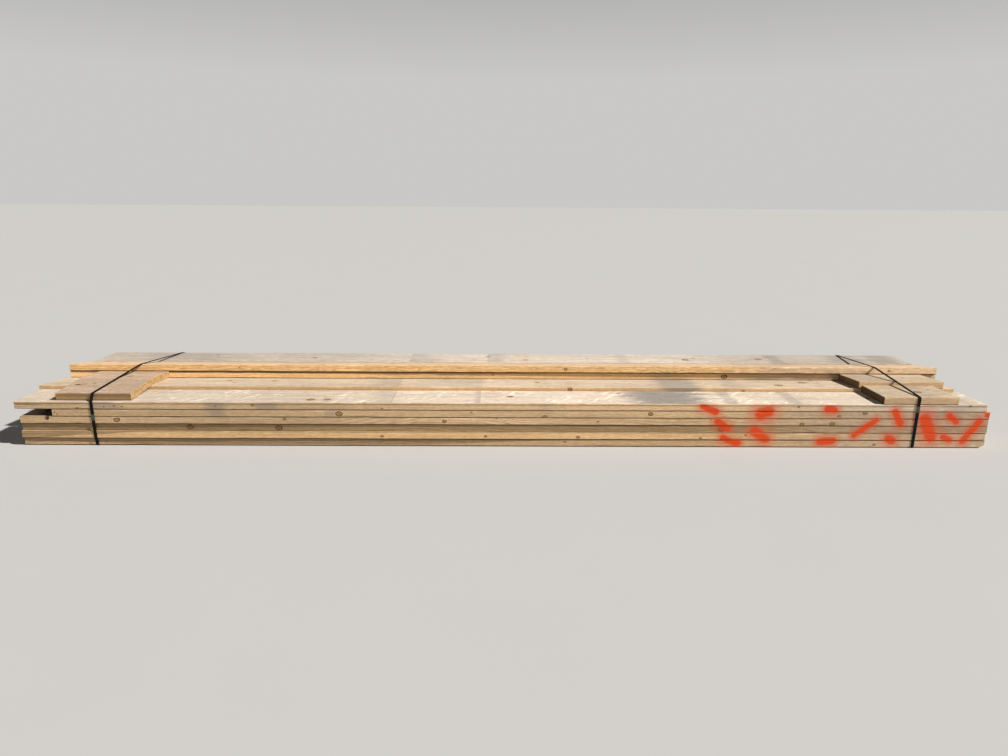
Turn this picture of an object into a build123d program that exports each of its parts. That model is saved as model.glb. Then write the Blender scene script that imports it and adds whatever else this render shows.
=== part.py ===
"""A strapped stack of sawn softwood boards.

The stack is four rows deep. Every board is 1 1/2 in thick and 9 1/4 in wide, and 16 ft long but for one.
The front row and the second row are six boards high. The boards of the second row lean back a little
more from one to the next. The third row has five flat boards, and on them two boards that lean back:
their front edge lies on the second row. The back row is seven boards high. Four short offcuts lie
on the first two rows, and two straps hold all of it together, each closed by a crimped seal.

X runs along the boards, Y from the front row to the back row, and Z up.
The origin is at the middle of the underside of the box round the stack.
"""
from build123d import *
from math import asin, atan2, cos, degrees, hypot, radians, sin, tan
import os

os.makedirs("parts", exist_ok=True)

# Board section and length, 1 1/2 in by 9 1/4 in by 16 ft
board_thickness = 38.1
board_width = 235.0
board_length = 4877.0
edge_radius = 3.0

# One board of the front row is short, counted from the lowest
short_boards = (5,)
short_board_length = 4715.0

# Two boards of the front row have dried narrower than the rest, and stand in from the front at their
# left end. The second row starts behind them, with this clearance
narrow_boards = (1, 3)
narrow_board_shrinkage = 3.0
narrow_board_recess = 8.0
narrow_board_clearance = 1.0

# Gaps between the other rows
middle_gap = 4.0
back_gap = 4.0

# Each board of the second row leans back by this much more than the one below it, in degrees
lean_step = 0.84

# The two leaning boards of the third row
lower_leaning_gap = 16.0
upper_leaning_slide = 3.0
upper_leaning_swing = 15.0

# What rests on a leaning board stands off it by this much
leaning_clearance = 0.05

# How far each board lies along X from the top board of the front row, lowest board first
front_row_shifts = [19.0, 16.0, 19.5, 19.0, 101.0, 0.0]
second_row_shifts = [12.0, 4.0, 15.0, 6.0, 10.0, -21.0]
third_row_shifts = [8.0, 14.0, 3.0, 11.0, 6.0, 13.5, 11.5]
back_row_shifts = [10.0, 5.0, 16.0, 8.0, 13.0, 6.0, 20.0]

# The front left offcut is set back by this much, so its back edge lies on the raised second row. The one
# behind it is that much narrower than a board
left_offcut_setback = 25.0

# Offcuts: length, width, and how far the middle is from that end of the top front board
front_left_offcut = (375.0, board_width, 384.5)
rear_left_offcut = (380.0, board_width - left_offcut_setback, 373.5)
front_right_offcut = (380.0, board_width, 338.5)
rear_right_offcut = (455.0, board_width, 313.5)
offcut_clearance = 0.5

# Straps, 5/8 in wide, and how far each is from that end of the top front board, in front and behind
strap_width = 16.0
strap_thickness = 1.0
strap_standoff = 0.9
left_strap_front = 392.5
left_strap_back = 422.5
right_strap_front = 342.5
right_strap_back = 328.5
strap_lap_tail = 38.0

# Crimped seals round the two layers of each strap
seal_length = 32.0
seal_wall = 0.45
seal_play = 0.1
seal_seam = 3.0
crimp_depth = 0.45
crimp_height = 4.0
left_seal_height = 150.0
right_seal_height = 205.0

# Damage at the ends of the front row
split_length = 130.0
split_mouth = 3.0
split_depth = 26.0
notch_length = 14.0
notch_size = 7.0
chip_length = 30.0
chip_height = 13.0
chip_overrun = 1.0

# Levels and row faces that follow from the sizes above
boards_bottom = strap_thickness + strap_standoff
first_row_front = 0.0
narrow_board_width = board_width - narrow_board_shrinkage
second_row_front = narrow_board_width + narrow_board_recess + narrow_board_clearance
third_row_front = second_row_front + board_width + middle_gap
back_row_front = third_row_front + board_width + back_gap
stack_back = back_row_front + board_width


def level(count):
    """Height of the top of so many flat boards."""
    return boards_bottom + count * board_thickness


def board_end(shift, length, side):
    """X of one end of a board, side -1 for the left and 1 for the right."""
    return shift + side * length / 2


def front_board(number):
    """Shift and length of a board of the front row, counted from the lowest."""
    return front_row_shifts[number - 1], short_board_length if number in short_boards else board_length


def from_end(distance, side):
    """X of a place that far in from one end of the top front board."""
    return side * (board_length / 2 - distance)


# The middle of the box round the stack, taken from the ends of all the boards and the two outer faces
other_shifts = [*second_row_shifts, *third_row_shifts, *back_row_shifts]
spans = [front_board(number + 1) for number in range(len(front_row_shifts))]
spans += [(shift, board_length) for shift in other_shifts]
left_end = min(board_end(shift, length, -1) for shift, length in spans)
right_end = max(board_end(shift, length, 1) for shift, length in spans)
seal_outer = strap_standoff + 2 * strap_thickness + seal_play + seal_wall
strap_outer = strap_standoff + strap_thickness
middle_x = (left_end + right_end) / 2
middle_y = (stack_back + strap_outer - seal_outer) / 2


def place(x, y, z):
    """A point of the stack, moved so that the origin is at the middle of its box."""
    return Vector(x - middle_x, y - middle_y, z)


def board_plane(corner, lean=0.0, swing=0.0):
    """Plane across a board: x over its width to the back, y up its thickness, z along its length.

    The lean lowers the back edge and the swing turns the board's far end to the front in its own face.
    """
    lean_angle = radians(lean)
    across = Vector(0, cos(lean_angle), -sin(lean_angle))
    up = Vector(0, sin(lean_angle), cos(lean_angle))
    swing_angle = radians(swing)
    along = Vector(1, 0, 0) * cos(swing_angle) - across * sin(swing_angle)
    return Plane(origin=corner, x_dir=up.cross(along), z_dir=along)


def write(part, name):
    """Label a finished piece and write it."""
    part.label = name
    export_step(part, f"parts/{name}.step")


def make_board(plane, length, width=board_width, from_back=False):
    """A board with eased long edges. The plane's origin is its lower front corner, or its lower back one."""
    side = Align.MAX if from_back else Align.MIN
    with BuildPart() as board:
        with BuildSketch(plane) as section:
            Rectangle(width, board_thickness, align=(side, Align.MIN))
            fillet(section.vertices(), edge_radius)
        extrude(amount=length)
    return board


# Front row, with its short board, its two narrow boards and the damage at its ends
front_row = {}
for number in range(1, len(front_row_shifts) + 1):
    shift, length = front_board(number)
    is_narrow = number in narrow_boards
    width = narrow_board_width if is_narrow else board_width
    recess = narrow_board_recess if is_narrow else 0.0
    corner = place(board_end(shift, length, -1), first_row_front + recess, level(number - 1))
    plane = board_plane(corner, swing=degrees(asin(recess / length)))
    front_row[number] = make_board(plane, length, width)

# The left end of the top front board has split along the grain, as a thin wedge open at the end
top_board = len(front_row)
split_height = level(top_board) - board_thickness / 2
split_left = place(board_end(*front_board(top_board), -1), first_row_front, split_height)
with BuildPart() as split:
    with BuildSketch(Plane(origin=split_left, x_dir=(1, 0, 0), z_dir=(0, -1, 0))) as wedge:
        Polygon(
            (-split_mouth, -split_mouth / 2),
            (split_length, split_mouth),
            (-split_mouth, split_mouth),
            align=None,
        )
    extrude(amount=split_depth, both=True)

# A sliver is torn from the upper front edge of the board below the short one, near the short one's left end
short_board = min(short_boards)
torn_board = short_board - 1
notch_middle = place(board_end(*front_board(short_board), -1), first_row_front, level(torn_board))
with BuildPart() as notch:
    with BuildSketch(Plane(origin=notch_middle, x_dir=(1, 0, 0), z_dir=(0, 0, 1))) as torn_shape:
        Polygon((-notch_length, 0), (notch_length / 2, 0), (0, notch_size), align=None)
    extrude(amount=-notch_size)

# The lower right corner of the lowest board is chipped off
chip_corner = place(board_end(*front_board(1), 1), first_row_front, level(0))
with BuildPart() as chip:
    with BuildSketch(Plane(origin=chip_corner, x_dir=(1, 0, 0), z_dir=(0, -1, 0))) as chip_shape:
        Polygon(
            (chip_overrun, -chip_overrun),
            (chip_overrun, chip_height),
            (-chip_length, -chip_overrun),
            align=None,
        )
    extrude(amount=board_width / 2, both=True)

damage = {top_board: split, torn_board: notch, 1: chip}
for number, board in front_row.items():
    with BuildPart() as finished:
        add(board.part)
        if number in damage:
            add(damage[number].part, mode=Mode.SUBTRACT)
    write(finished.part, f"front_row_board_{number}")

# Second row: each board turns about its lower back edge, which lies on the board below
second_row_back = second_row_front + board_width
pivot_height = boards_bottom
for number, shift in enumerate(second_row_shifts):
    lean = number * lean_step
    top_board_pivot = pivot_height
    corner = place(board_end(shift, board_length, -1), second_row_back, pivot_height)
    board = make_board(board_plane(corner, lean), board_length, from_back=True)
    write(board.part, f"second_row_board_{number + 1}")
    pivot_height += board_thickness / cos(radians(lean))

# Third row: five flat boards
flat_count = len(third_row_shifts) - 2
for number, shift in enumerate(third_row_shifts[:flat_count]):
    corner = place(board_end(shift, board_length, -1), third_row_front, level(number))
    board = make_board(board_plane(corner), board_length)
    write(board.part, f"third_row_board_{number + 1}")

# The lower leaning board's underside lies against two eased edges, each an arc round its own centre:
# its own lower back edge, on the flat boards, and the upper back edge of the second row's top board
top_lean = radians(lean_step * (len(second_row_shifts) - 1))
rest_back_y = back_row_front - lower_leaning_gap - edge_radius
rest_back_z = level(flat_count) + edge_radius
inner_thickness = board_thickness - edge_radius
rest_front_y = second_row_back + inner_thickness * sin(top_lean) - edge_radius * cos(top_lean)
rest_front_z = top_board_pivot + inner_thickness * cos(top_lean) + edge_radius * sin(top_lean)
rest_run = rest_back_y - rest_front_y
rest_drop = rest_front_z - rest_back_z
lean_angle = asin(2 * edge_radius / hypot(rest_run, rest_drop)) + atan2(rest_drop, rest_run)
lean_of_pair = degrees(lean_angle)
lower_corner_y = rest_back_y + edge_radius * (cos(lean_angle) - sin(lean_angle))
lower_corner_z = rest_back_z - edge_radius * (cos(lean_angle) + sin(lean_angle))
lower_shift, upper_shift = third_row_shifts[flat_count:]
lower_corner = place(board_end(lower_shift, board_length, -1), lower_corner_y, lower_corner_z)
lower_leaning = make_board(board_plane(lower_corner, lean_of_pair), board_length, from_back=True)
write(lower_leaning.part, f"third_row_board_{flat_count + 1}")

# The upper leaning board lies on the lower one, slid a little forward, more at its right end
slide = upper_leaning_slide
upper_rise = board_thickness + leaning_clearance
upper_corner_y = lower_corner_y + upper_rise * sin(lean_angle) - slide * cos(lean_angle)
upper_corner_z = lower_corner_z + upper_rise * cos(lean_angle) + slide * sin(lean_angle)
upper_corner = place(board_end(upper_shift, board_length, -1), upper_corner_y, upper_corner_z)
upper_swing = degrees(asin(upper_leaning_swing / board_length))
upper_plane = board_plane(upper_corner, lean_of_pair, upper_swing)
upper_leaning = make_board(upper_plane, board_length, from_back=True)
write(upper_leaning.part, f"third_row_board_{flat_count + 2}")

# Back row
for number, shift in enumerate(back_row_shifts):
    corner = place(board_end(shift, board_length, -1), back_row_front, level(number))
    board = make_board(board_plane(corner), board_length)
    write(board.part, f"back_row_board_{number + 1}")

# Offcuts on the front row: the right one lies flat. The left one leans forward, its underside against
# two eased edges, its own at the front and the upper front edge of the second row's top board
sides = {"left": -1, "right": 1}
front_top = level(len(front_row))
inner_width = board_width - edge_radius
raised_y = second_row_back - inner_width * cos(top_lean) + inner_thickness * sin(top_lean)
raised_z = top_board_pivot + inner_width * sin(top_lean) + inner_thickness * cos(top_lean)
offcut_run = raised_y - left_offcut_setback - edge_radius
offcut_rise = raised_z - front_top - edge_radius
forward_lean = atan2(offcut_rise, offcut_run) + asin(2 * edge_radius / hypot(offcut_run, offcut_rise))
left_corner_y = left_offcut_setback + edge_radius * (1 - cos(forward_lean) + sin(forward_lean))
left_corner_z = front_top + edge_radius * (1 - cos(forward_lean) - sin(forward_lean))
front_offcuts = {
    "left": (front_left_offcut, left_corner_y, left_corner_z, -degrees(forward_lean)),
    "right": (front_right_offcut, first_row_front, front_top, 0.0),
}
for name, (offcut_size, corner_y, corner_z, lean) in front_offcuts.items():
    length, width, distance = offcut_size
    corner = place(from_end(distance, sides[name]) - length / 2, corner_y, corner_z)
    offcut = make_board(board_plane(corner, lean), length, width)
    write(offcut.part, f"{name}_front_offcut")

# The rear offcuts lie on the second row's leaning top board, in front of the third row's lower leaning one
leaning_front_y = lower_corner_y - board_width * cos(lean_angle)
rear_back_y = leaning_front_y - offcut_clearance
second_row_top_back_y = second_row_back + board_thickness * sin(top_lean)
second_row_top_back_z = top_board_pivot + board_thickness * cos(top_lean)
rear_rise = (second_row_top_back_y - rear_back_y) * tan(top_lean) + leaning_clearance / cos(top_lean)
rear_back_z = second_row_top_back_z + rear_rise
for name, (length, width, distance) in {"left": rear_left_offcut, "right": rear_right_offcut}.items():
    corner = place(from_end(distance, sides[name]) - length / 2, rear_back_y, rear_back_z)
    offcut = make_board(board_plane(corner, degrees(top_lean)), length, width, from_back=True)
    write(offcut.part, f"{name}_rear_offcut")


def front_inset(x):
    """How far the lowest board of the front row stands in from the front at this X."""
    end = board_end(*front_board(1), 1)
    return narrow_board_recess * (end - x) / board_length


def upper_front_edge(x):
    """Y and Z of the upper front corner of the upper leaning board at this X."""
    along = x - board_end(upper_shift, board_length, -1)
    forward = board_width + along * tan(radians(upper_swing))
    y = upper_corner_y + board_thickness * sin(lean_angle) - forward * cos(lean_angle)
    z = upper_corner_z + board_thickness * cos(lean_angle) + forward * sin(lean_angle)
    return y, z


def strap_frame(front_x, back_x):
    """Upright plane of a strap's loop: x from the front of the stack to its back, y up."""
    start = place(front_x, first_row_front, 0)
    end = place(back_x, stack_back, 0)
    run = (end - start).normalized()
    return Plane(origin=start, x_dir=run, z_dir=run.cross(Vector(0, 0, 1)))


def make_strap(front_x, back_x, seal_height, offcut_edges):
    """A strap pulled tight round the stack, with its second layer where the seal holds its two ends."""
    stretch = hypot(back_x - front_x, stack_back) / stack_back
    middle = (front_x + back_x) / 2
    ridge_y, ridge_z = upper_front_edge(middle)
    corners = [
        (front_inset(front_x) * stretch, boards_bottom),
        (0, level(1)),
        *[(edge_y * stretch, edge_z) for edge_y, edge_z in offcut_edges],
        (ridge_y * stretch, ridge_z),
        (stack_back * stretch, level(len(back_row_shifts))),
        (stack_back * stretch, boards_bottom),
    ]
    frame = strap_frame(front_x, back_x)
    with BuildSketch(frame) as inside:
        with BuildLine():
            FilletPolyline(*corners, radius=edge_radius, close=True)
        make_face()
        offset(amount=strap_standoff, kind=Kind.ARC)
    with BuildPart() as strap:
        with BuildSketch(frame):
            add(inside.sketch_local)
            offset(amount=strap_thickness, kind=Kind.ARC)
            add(inside.sketch_local, mode=Mode.SUBTRACT)
        extrude(amount=strap_width / 2, both=True)
        lap_bottom = seal_height - seal_length / 2 - strap_lap_tail
        lap_height = seal_length + 2 * strap_lap_tail
        with BuildSketch(frame):
            with Locations((-strap_standoff - 1.5 * strap_thickness, lap_bottom + lap_height / 2)):
                Rectangle(strap_thickness, lap_height)
        extrude(amount=strap_width / 2, both=True)
    return strap


def make_seal(front_x, back_x, height):
    """A thin sleeve folded round both layers, open along its back and crimped twice on each side."""
    frame = strap_frame(front_x, back_x)
    across = frame.z_dir
    outward = -frame.x_dir
    layers = 2 * strap_thickness
    wall_gap = strap_standoff + layers / 2
    middle = frame.origin + outward * wall_gap + Vector(0, 0, height)
    base = Plane(origin=middle - Vector(0, 0, seal_length / 2), x_dir=across, z_dir=(0, 0, 1))
    inner_width = strap_width + 2 * seal_play
    inner_depth = layers + 2 * seal_play
    with BuildPart() as seal:
        with BuildSketch(base):
            Rectangle(inner_width + 2 * seal_wall, inner_depth + 2 * seal_wall)
            Rectangle(inner_width, inner_depth, mode=Mode.SUBTRACT)
            with Locations((0, inner_depth / 2 + seal_wall / 2)):
                Rectangle(seal_seam, 2 * seal_wall, mode=Mode.SUBTRACT)
        extrude(amount=seal_length)
        face = Plane(origin=middle, x_dir=across, z_dir=outward)
        half_width = inner_width / 2 + seal_wall
        with BuildSketch(face):
            with GridLocations(0, seal_length / 2, 1, 2):
                with Locations((-half_width, 0), (half_width, 0)):
                    Rectangle(2 * crimp_depth, crimp_height)
        extrude(amount=inner_depth, both=True, mode=Mode.SUBTRACT)
    return seal


# The edges that each strap turns over between the front and the third row
left_edge_y = left_corner_y - board_thickness * sin(forward_lean)
left_edge_z = left_corner_z + board_thickness * cos(forward_lean)
left_edges = [(first_row_front, front_top), (left_edge_y, left_edge_z)]
right_edges = [(first_row_front, front_top + board_thickness)]
straps = {
    "left": (left_strap_front, left_strap_back, left_seal_height, left_edges),
    "right": (right_strap_front, right_strap_back, right_seal_height, right_edges),
}
for name, (front_distance, back_distance, seal_height, offcut_edges) in straps.items():
    front_x = from_end(front_distance, sides[name])
    back_x = from_end(back_distance, sides[name])
    strap = make_strap(front_x, back_x, seal_height, offcut_edges)
    write(strap.part, f"{name}_strap")
    seal = make_seal(front_x, back_x, seal_height)
    write(seal.part, f"{name}_seal")
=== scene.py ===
"""A strapped stack of sawn softwood boards, on a pale floor in soft light.

Each board is a surface carried along the board's own axes, with eased edges, ends, checks and wear, and
wood whose growth rings run through it. The straps and seals get their finishes.
"""
from math import cos, pi, radians, sin

import bmesh
import bpy
import numpy as np
from bpy.props import FloatProperty, FloatVectorProperty, PointerProperty
from mathutils import Matrix, Vector


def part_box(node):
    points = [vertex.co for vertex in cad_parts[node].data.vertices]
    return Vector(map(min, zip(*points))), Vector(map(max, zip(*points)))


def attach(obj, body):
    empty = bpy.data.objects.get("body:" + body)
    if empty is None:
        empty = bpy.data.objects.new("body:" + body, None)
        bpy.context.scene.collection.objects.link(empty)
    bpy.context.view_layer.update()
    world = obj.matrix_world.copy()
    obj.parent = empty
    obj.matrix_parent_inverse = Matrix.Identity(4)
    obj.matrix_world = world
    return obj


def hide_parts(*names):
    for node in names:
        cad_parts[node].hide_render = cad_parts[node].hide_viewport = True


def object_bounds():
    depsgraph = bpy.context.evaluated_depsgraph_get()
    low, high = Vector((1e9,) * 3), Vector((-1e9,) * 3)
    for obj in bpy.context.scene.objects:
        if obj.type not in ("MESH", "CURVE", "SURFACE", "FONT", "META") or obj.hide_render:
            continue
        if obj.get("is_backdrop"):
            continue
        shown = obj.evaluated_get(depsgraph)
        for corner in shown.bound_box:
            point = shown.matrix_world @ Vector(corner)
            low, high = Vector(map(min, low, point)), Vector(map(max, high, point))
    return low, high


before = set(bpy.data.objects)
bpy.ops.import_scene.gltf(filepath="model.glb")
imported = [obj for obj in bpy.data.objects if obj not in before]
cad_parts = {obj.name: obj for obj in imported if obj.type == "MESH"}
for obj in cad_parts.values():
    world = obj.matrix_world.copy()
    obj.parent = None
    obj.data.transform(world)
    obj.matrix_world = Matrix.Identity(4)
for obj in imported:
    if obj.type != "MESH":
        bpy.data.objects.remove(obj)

bl_info = {
    "name": "Stack of lumber",
    "version": (1, 0, 0),
    "blender": (4, 5, 0),
    "location": "View3D > Sidebar > Lumber",
    "description": "Boards, offcuts, straps and seals of a strapped stack of lumber",
    "category": "Object",
}

ROWS = {"front_row": 6, "second_row": 6, "third_row": 7, "back_row": 7}
OFFCUTS = ("left_front_offcut", "right_front_offcut", "left_rear_offcut", "right_rear_offcut")

# Boards that other boards cover but for their ends
COVERED = {f"second_row_board_{n}" for n in range(1, 6)} | {f"third_row_board_{n}" for n in range(1, 6)}

# The board whose front shows a coarse wavy figure
FIGURED = "third_row_board_7"

# A board's thickness and width, and the heights of its middle and of marks on its upper face, in mm
THICKNESS = 38.1
WIDTH = 235.0
MIDDLE_LEVEL = 19
MARK_LEVEL = 38.0

# Depth of knots in the narrow and the wide faces and of nicks, and the ends without random knots, in mm
SIDE_KNOT_DEPTH = 110.0
TOP_KNOT_DEPTH = 70.0
NICK_DEPTH = 12.0
KNOT_MARGIN = 60

# Least part of its normal that points up or forward on an upper or a front face, and the angle in degrees
# above which an edge stays sharp
FACING = 0.9
SHARP_ANGLE = 38

# Colours of what lies on the wood, of the painted shade and shadow on it and in its joints, and of what shows
# where a finish is worn
CREAM_FLAME = (0.95, 0.85, 0.70, 1)
WHITISH_FLAKE = (0.86, 0.76, 0.62, 1)
DULL_PATCH = (0.42, 0.33, 0.25, 1)
DARK_FLECK = (0.28, 0.19, 0.12, 1)
SHADED_WOOD = (0.075, 0.052, 0.030, 1)
JOINT_DIRT_AND_SHADE = (0.032, 0.021, 0.013, 1)
NICK_DIRT_AND_SHADOW = (0.030, 0.023, 0.018, 1)
END_CHECK = (0.03, 0.02, 0.012, 1)
SCUFFED_STRAP = (0.017, 0.017, 0.016, 1)
BARE_STEEL = (0.15, 0.15, 0.14, 1)

# Colours of the light from all round, near the horizon and overhead
HORIZON = (0.62, 0.615, 0.605, 1)
OVERHEAD = (0.07, 0.072, 0.076, 1)

# Knots on the front faces: place along the stack from its middle, height on the board, radius, in mm
FRONT_KNOTS = {
    "front_row_board_1": [(308, 23, 5), (-2010, 20, 6), (1890, 14, 6)],
    "front_row_board_2": [(-618, 14, 6), (-95, 16, 6), (997, 9, 5), (374, 12, 7), (1227, 26, 5)],
    "front_row_board_3": [(-1581, 20, 13), (-1136, 18, 13), (1101, 17, 12)],
    "front_row_board_4": [
        (-1939, 21, 12), (-1102, 28, 7), (-302, 17, 9), (-39, 35, 4),
        (472, 19, 5), (1040, 33, 4), (1507, 9, 9), (1660, 11, 10),
    ],
    "front_row_board_5": [
        (-829, 18, 13), (-166, 27, 4), (736, 22, 10), (203, 3, 11), (1821, 30, 9), (1691, 14, 7),
    ],
    "front_row_board_6": [
        (-1257, 24, 6), (-1944, 18, 4), (-1442, 18, 4), (-613, 8, 4), (1481, 24, 5), (2351, 31, 5),
    ],
    "third_row_board_7": [(349, 20, 8), (2177, 18, 6), (-1480, 22, 4)],
    "third_row_board_6": [(1249, 18, 13), (-60, 26, 4)],
    "second_row_board_6": [(352, 26, 10), (1280, 20, 6)],
    "back_row_board_7": [(640, 20, 9), (-1500, 16, 7)],
}

# How bright a board is in the left quarter, the middle and the right quarter of the stack, if not stated
PLAIN_SHADES = (0.96, 1.0, 0.98)

# Colour of each board's sawn wood against the plain one, and how bright it is in those places; some darkness
# here is painted shade
TONES_AND_SHADE = {
    "front_row_board_1": ((0.94, 0.90, 0.84), (0.92, 1.02, 1.05)),
    "front_row_board_2": ((1.18, 1.12, 0.98), (0.98, 1.06, 0.94)),
    # Darker partly in its own tone and partly as painted shade under the board above
    "front_row_board_3": ((0.74, 0.68, 0.56), (0.90, 1.00, 1.15)),
    "front_row_board_4": ((1.00, 0.99, 0.96), (0.86, 1.08, 0.92)),
    "front_row_board_5": ((1.02, 1.01, 0.97), (0.88, 1.12, 0.94)),
    "front_row_board_6": ((1.03, 1.02, 1.00), (0.97, 1.16, 1.14)),
    "second_row_board_6": ((1.14, 1.08, 0.96), (0.94, 1.02, 1.04)),
    # Darker to the right partly as painted shade under the board above
    "third_row_board_6": ((1.19, 1.10, 0.90), (1.14, 0.96, 0.80)),
    "third_row_board_7": ((1.17, 1.07, 0.84), (1.04, 1.06, 1.02)),
    "back_row_board_7": ((0.98, 0.96, 0.94), (0.86, 1.10, 0.84)),
    "left_front_offcut": ((0.70, 0.64, 0.52), PLAIN_SHADES),
    "left_rear_offcut": ((1.10, 0.92, 0.66), PLAIN_SHADES),
    "right_front_offcut": ((0.98, 0.92, 0.84), PLAIN_SHADES),
    "right_rear_offcut": ((1.06, 0.98, 0.82), PLAIN_SHADES),
}

# Colour of the upper faces against the plain weathered one
TOP_TONES = {
    "front_row_board_6": (1.05, 1.06, 1.06),
    "second_row_board_6": (1.03, 1.01, 0.93),
    "third_row_board_7": (1.10, 1.00, 0.86),
    "back_row_board_7": (0.94, 1.00, 1.06),
    "left_front_offcut": (0.78, 0.65, 0.56),
    "left_rear_offcut": (0.88, 0.72, 0.60),
    "right_front_offcut": (0.86, 0.80, 0.68),
    "right_rear_offcut": (0.90, 0.82, 0.70),
}

# Colour of the end grain where it differs from the rest of the board; on the right offcuts it is painted
# shade
END_TONES_AND_SHADE = {
    "left_front_offcut": (0.63, 0.55, 0.41),
    "left_rear_offcut": (0.66, 0.57, 0.42),
    # Painted shade on the right offcuts' ends
    "right_front_offcut": (0.20, 0.175, 0.135),
    "right_rear_offcut": (0.32, 0.28, 0.22),
}

# Grey stains that run across a board: their middle along the stack, half length in mm, and strength.
# The first list is on the upper face, the second on the front
STAINS = {
    "front_row_board_6": (
        [(830, 225, 1.0), (1150, 40, 0.5), (1475, 38, 0.5), (-2050, 90, 0.3), (2330, 120, 0.45)],
        [(-1440, 62, 0.62), (-1190, 60, 0.5), (-1990, 80, 0.5), (215, 45, 0.25), (2330, 130, 0.3)],
    ),
    "second_row_board_6": ([(945, 120, 0.7), (1250, 60, 0.3)], [(960, 120, 0.8)]),
    "third_row_board_7": ([], [(1560, 130, 0.25)]),
    "third_row_board_6": ([], [(1500, 260, 0.35), (900, 90, 0.25)]),
    "back_row_board_7": (
        [(-1900, 330, 0.35), (730, 40, 0.3), (1665, 50, 0.55), (2110, 120, 0.5), (2330, 90, 0.55)],
        [],
    ),
    "front_row_board_5": ([], [(-1440, 50, 0.5), (-880, 35, 0.4), (215, 40, 0.2), (2240, 90, 0.3)]),
    "right_front_offcut": ([(2160, 50, 0.35)], []),
    "right_rear_offcut": ([(1985, 90, 0.35)], []),
}

# Faces whose upper part is painted in shade: how much, then the height on the board where that begins at
# places along the stack, in mm
SHADED = {
    "front_row_board_1": (0.45, ((-2390, 20), (-1700, 7), (-500, 7), (400, 34))),
    "front_row_board_2": (0.50, ((-2390, 1), (-2060, 20), (-1850, 34))),
    "front_row_board_3": (0.25, ((-2390, 9), (-1900, 5), (1200, 7))),
    "front_row_board_6": (0.10, ((-2390, 26), (-1500, 20), (1500, 24))),
    "left_front_offcut": (0.34, ((-2220, 20), (-1900, 16))),
    "third_row_board_6": (0.75, ((-2400, 28), (-200, 30), (500, 34))),
}

# Dark nicks and dirt on the upper faces, with one painted shadow: place along and across the stack, half
# length and half width in mm
NICKS_AND_SHADOW = {
    "front_row_board_6": [(603, -291, 11, 4), (785, -297, 16, 3), (1092, -378, 30, 3), (1605, -263, 6, 3)],
    "second_row_board_6": [(622, -116, 26, 3), (694, -118, 8, 3), (1690, -82, 12, 4), (1730, -96, 26, 3)],
    "back_row_board_7": [(515, 361, 7, 6), (1120, 300, 6, 4)],
    "left_front_offcut": [(-2196, -322, 17, 8), (-2168, -314, 16, 4), (-1930, -250, 8, 4)],
    # Painted shadow on the fourth front board's top where the boards above leave it in shade
    "front_row_board_4": [(-2285, -350, 85, 118)],
    "right_front_offcut": [(2215, -330, 9, 5)],
}

# Dark nicks on the front faces: place along the stack, height on the board, half length and half height
# in mm
FRONT_NICKS = {
    "front_row_board_4": [(-2284, 32, 12, 17)],
    "front_row_board_5": [(-2242, 22, 5, 3), (-2232, 12, 4, 3)],
    "front_row_board_6": [(-2127, 6, 5, 4), (-1905, 15, 5, 3), (-1995, 12, 4, 3)],
}

# Marks that spacers left across the upper faces: their edges along the stack in mm and strength. The
# second edge is the crisp one
SPACER_MARKS = {
    "front_row_board_6": [(-760, -567, 0.28), (-562, -570, 0.60), (-172, -122, 0.42), (150, 246, 0.16)],
    "second_row_board_6": [(-830, -567, 0.36), (-562, -570, 0.50), (-700, -122, 0.30), (150, 246, 0.14)],
    "back_row_board_7": [(-329, -556, 0.32), (-552, -560, 0.50), (102, -89, 0.36), (-84, -92, 0.40)],
}

# Sprayed marks on the front row: the middle along the stack and its height, half the length beyond the
# round ends, half the width, in mm, and the turn in degrees
MARKS = [
    (1030, 204, 36, 25, -24), (1104, 120, 30, 27, -38), (1150, 36, 40, 25, -20),
    (1312, 186, 18, 44, 20), (1300, 66, 34, 34, -35),
    (1648, 203, 16, 26, -6), (1640, 34, 30, 27, 3),
    (1832, 108, 66, 20, 38),
    (1990, 162, 34, 25, -62), (1966, 44, 12, 28, -30),
    (2152, 108, 50, 42, -64),
    (2272, 156, 26, 21, -38), (2254, 52, 20, 21, -24), (2376, 92, 62, 25, 56),
    (2446, 176, 4, 16, 0),
]


class Socket:
    """A shader socket, wrapped so that sums written in Python add Math nodes."""

    def __init__(self, tree, socket):
        self.tree = tree
        self.socket = socket

    def math(self, operation, *values):
        return self.tree.add("ShaderNodeMath", {"operation": operation}, dict(enumerate(values)))

    def __add__(self, other):
        return self.math("ADD", self, other)

    __radd__ = __add__

    def __sub__(self, other):
        return self.math("SUBTRACT", self, other)

    def __rsub__(self, other):
        return self.math("SUBTRACT", other, self)

    def __mul__(self, other):
        return self.math("MULTIPLY", self, other)

    __rmul__ = __mul__

    def __truediv__(self, other):
        return self.math("DIVIDE", self, other)

    def __abs__(self):
        return self.math("ABSOLUTE", self)

    def least(self, other):
        return self.math("MINIMUM", self, other)

    def most(self, other):
        return self.math("MAXIMUM", self, other)

    def ramp(self, low, high):
        """0 below the low value, 1 above the high one, and smooth between them."""
        values = {"Value": self, "From Min": low, "From Max": high}
        return self.tree.add("ShaderNodeMapRange", {"interpolation_type": "SMOOTHSTEP"}, values)


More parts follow.
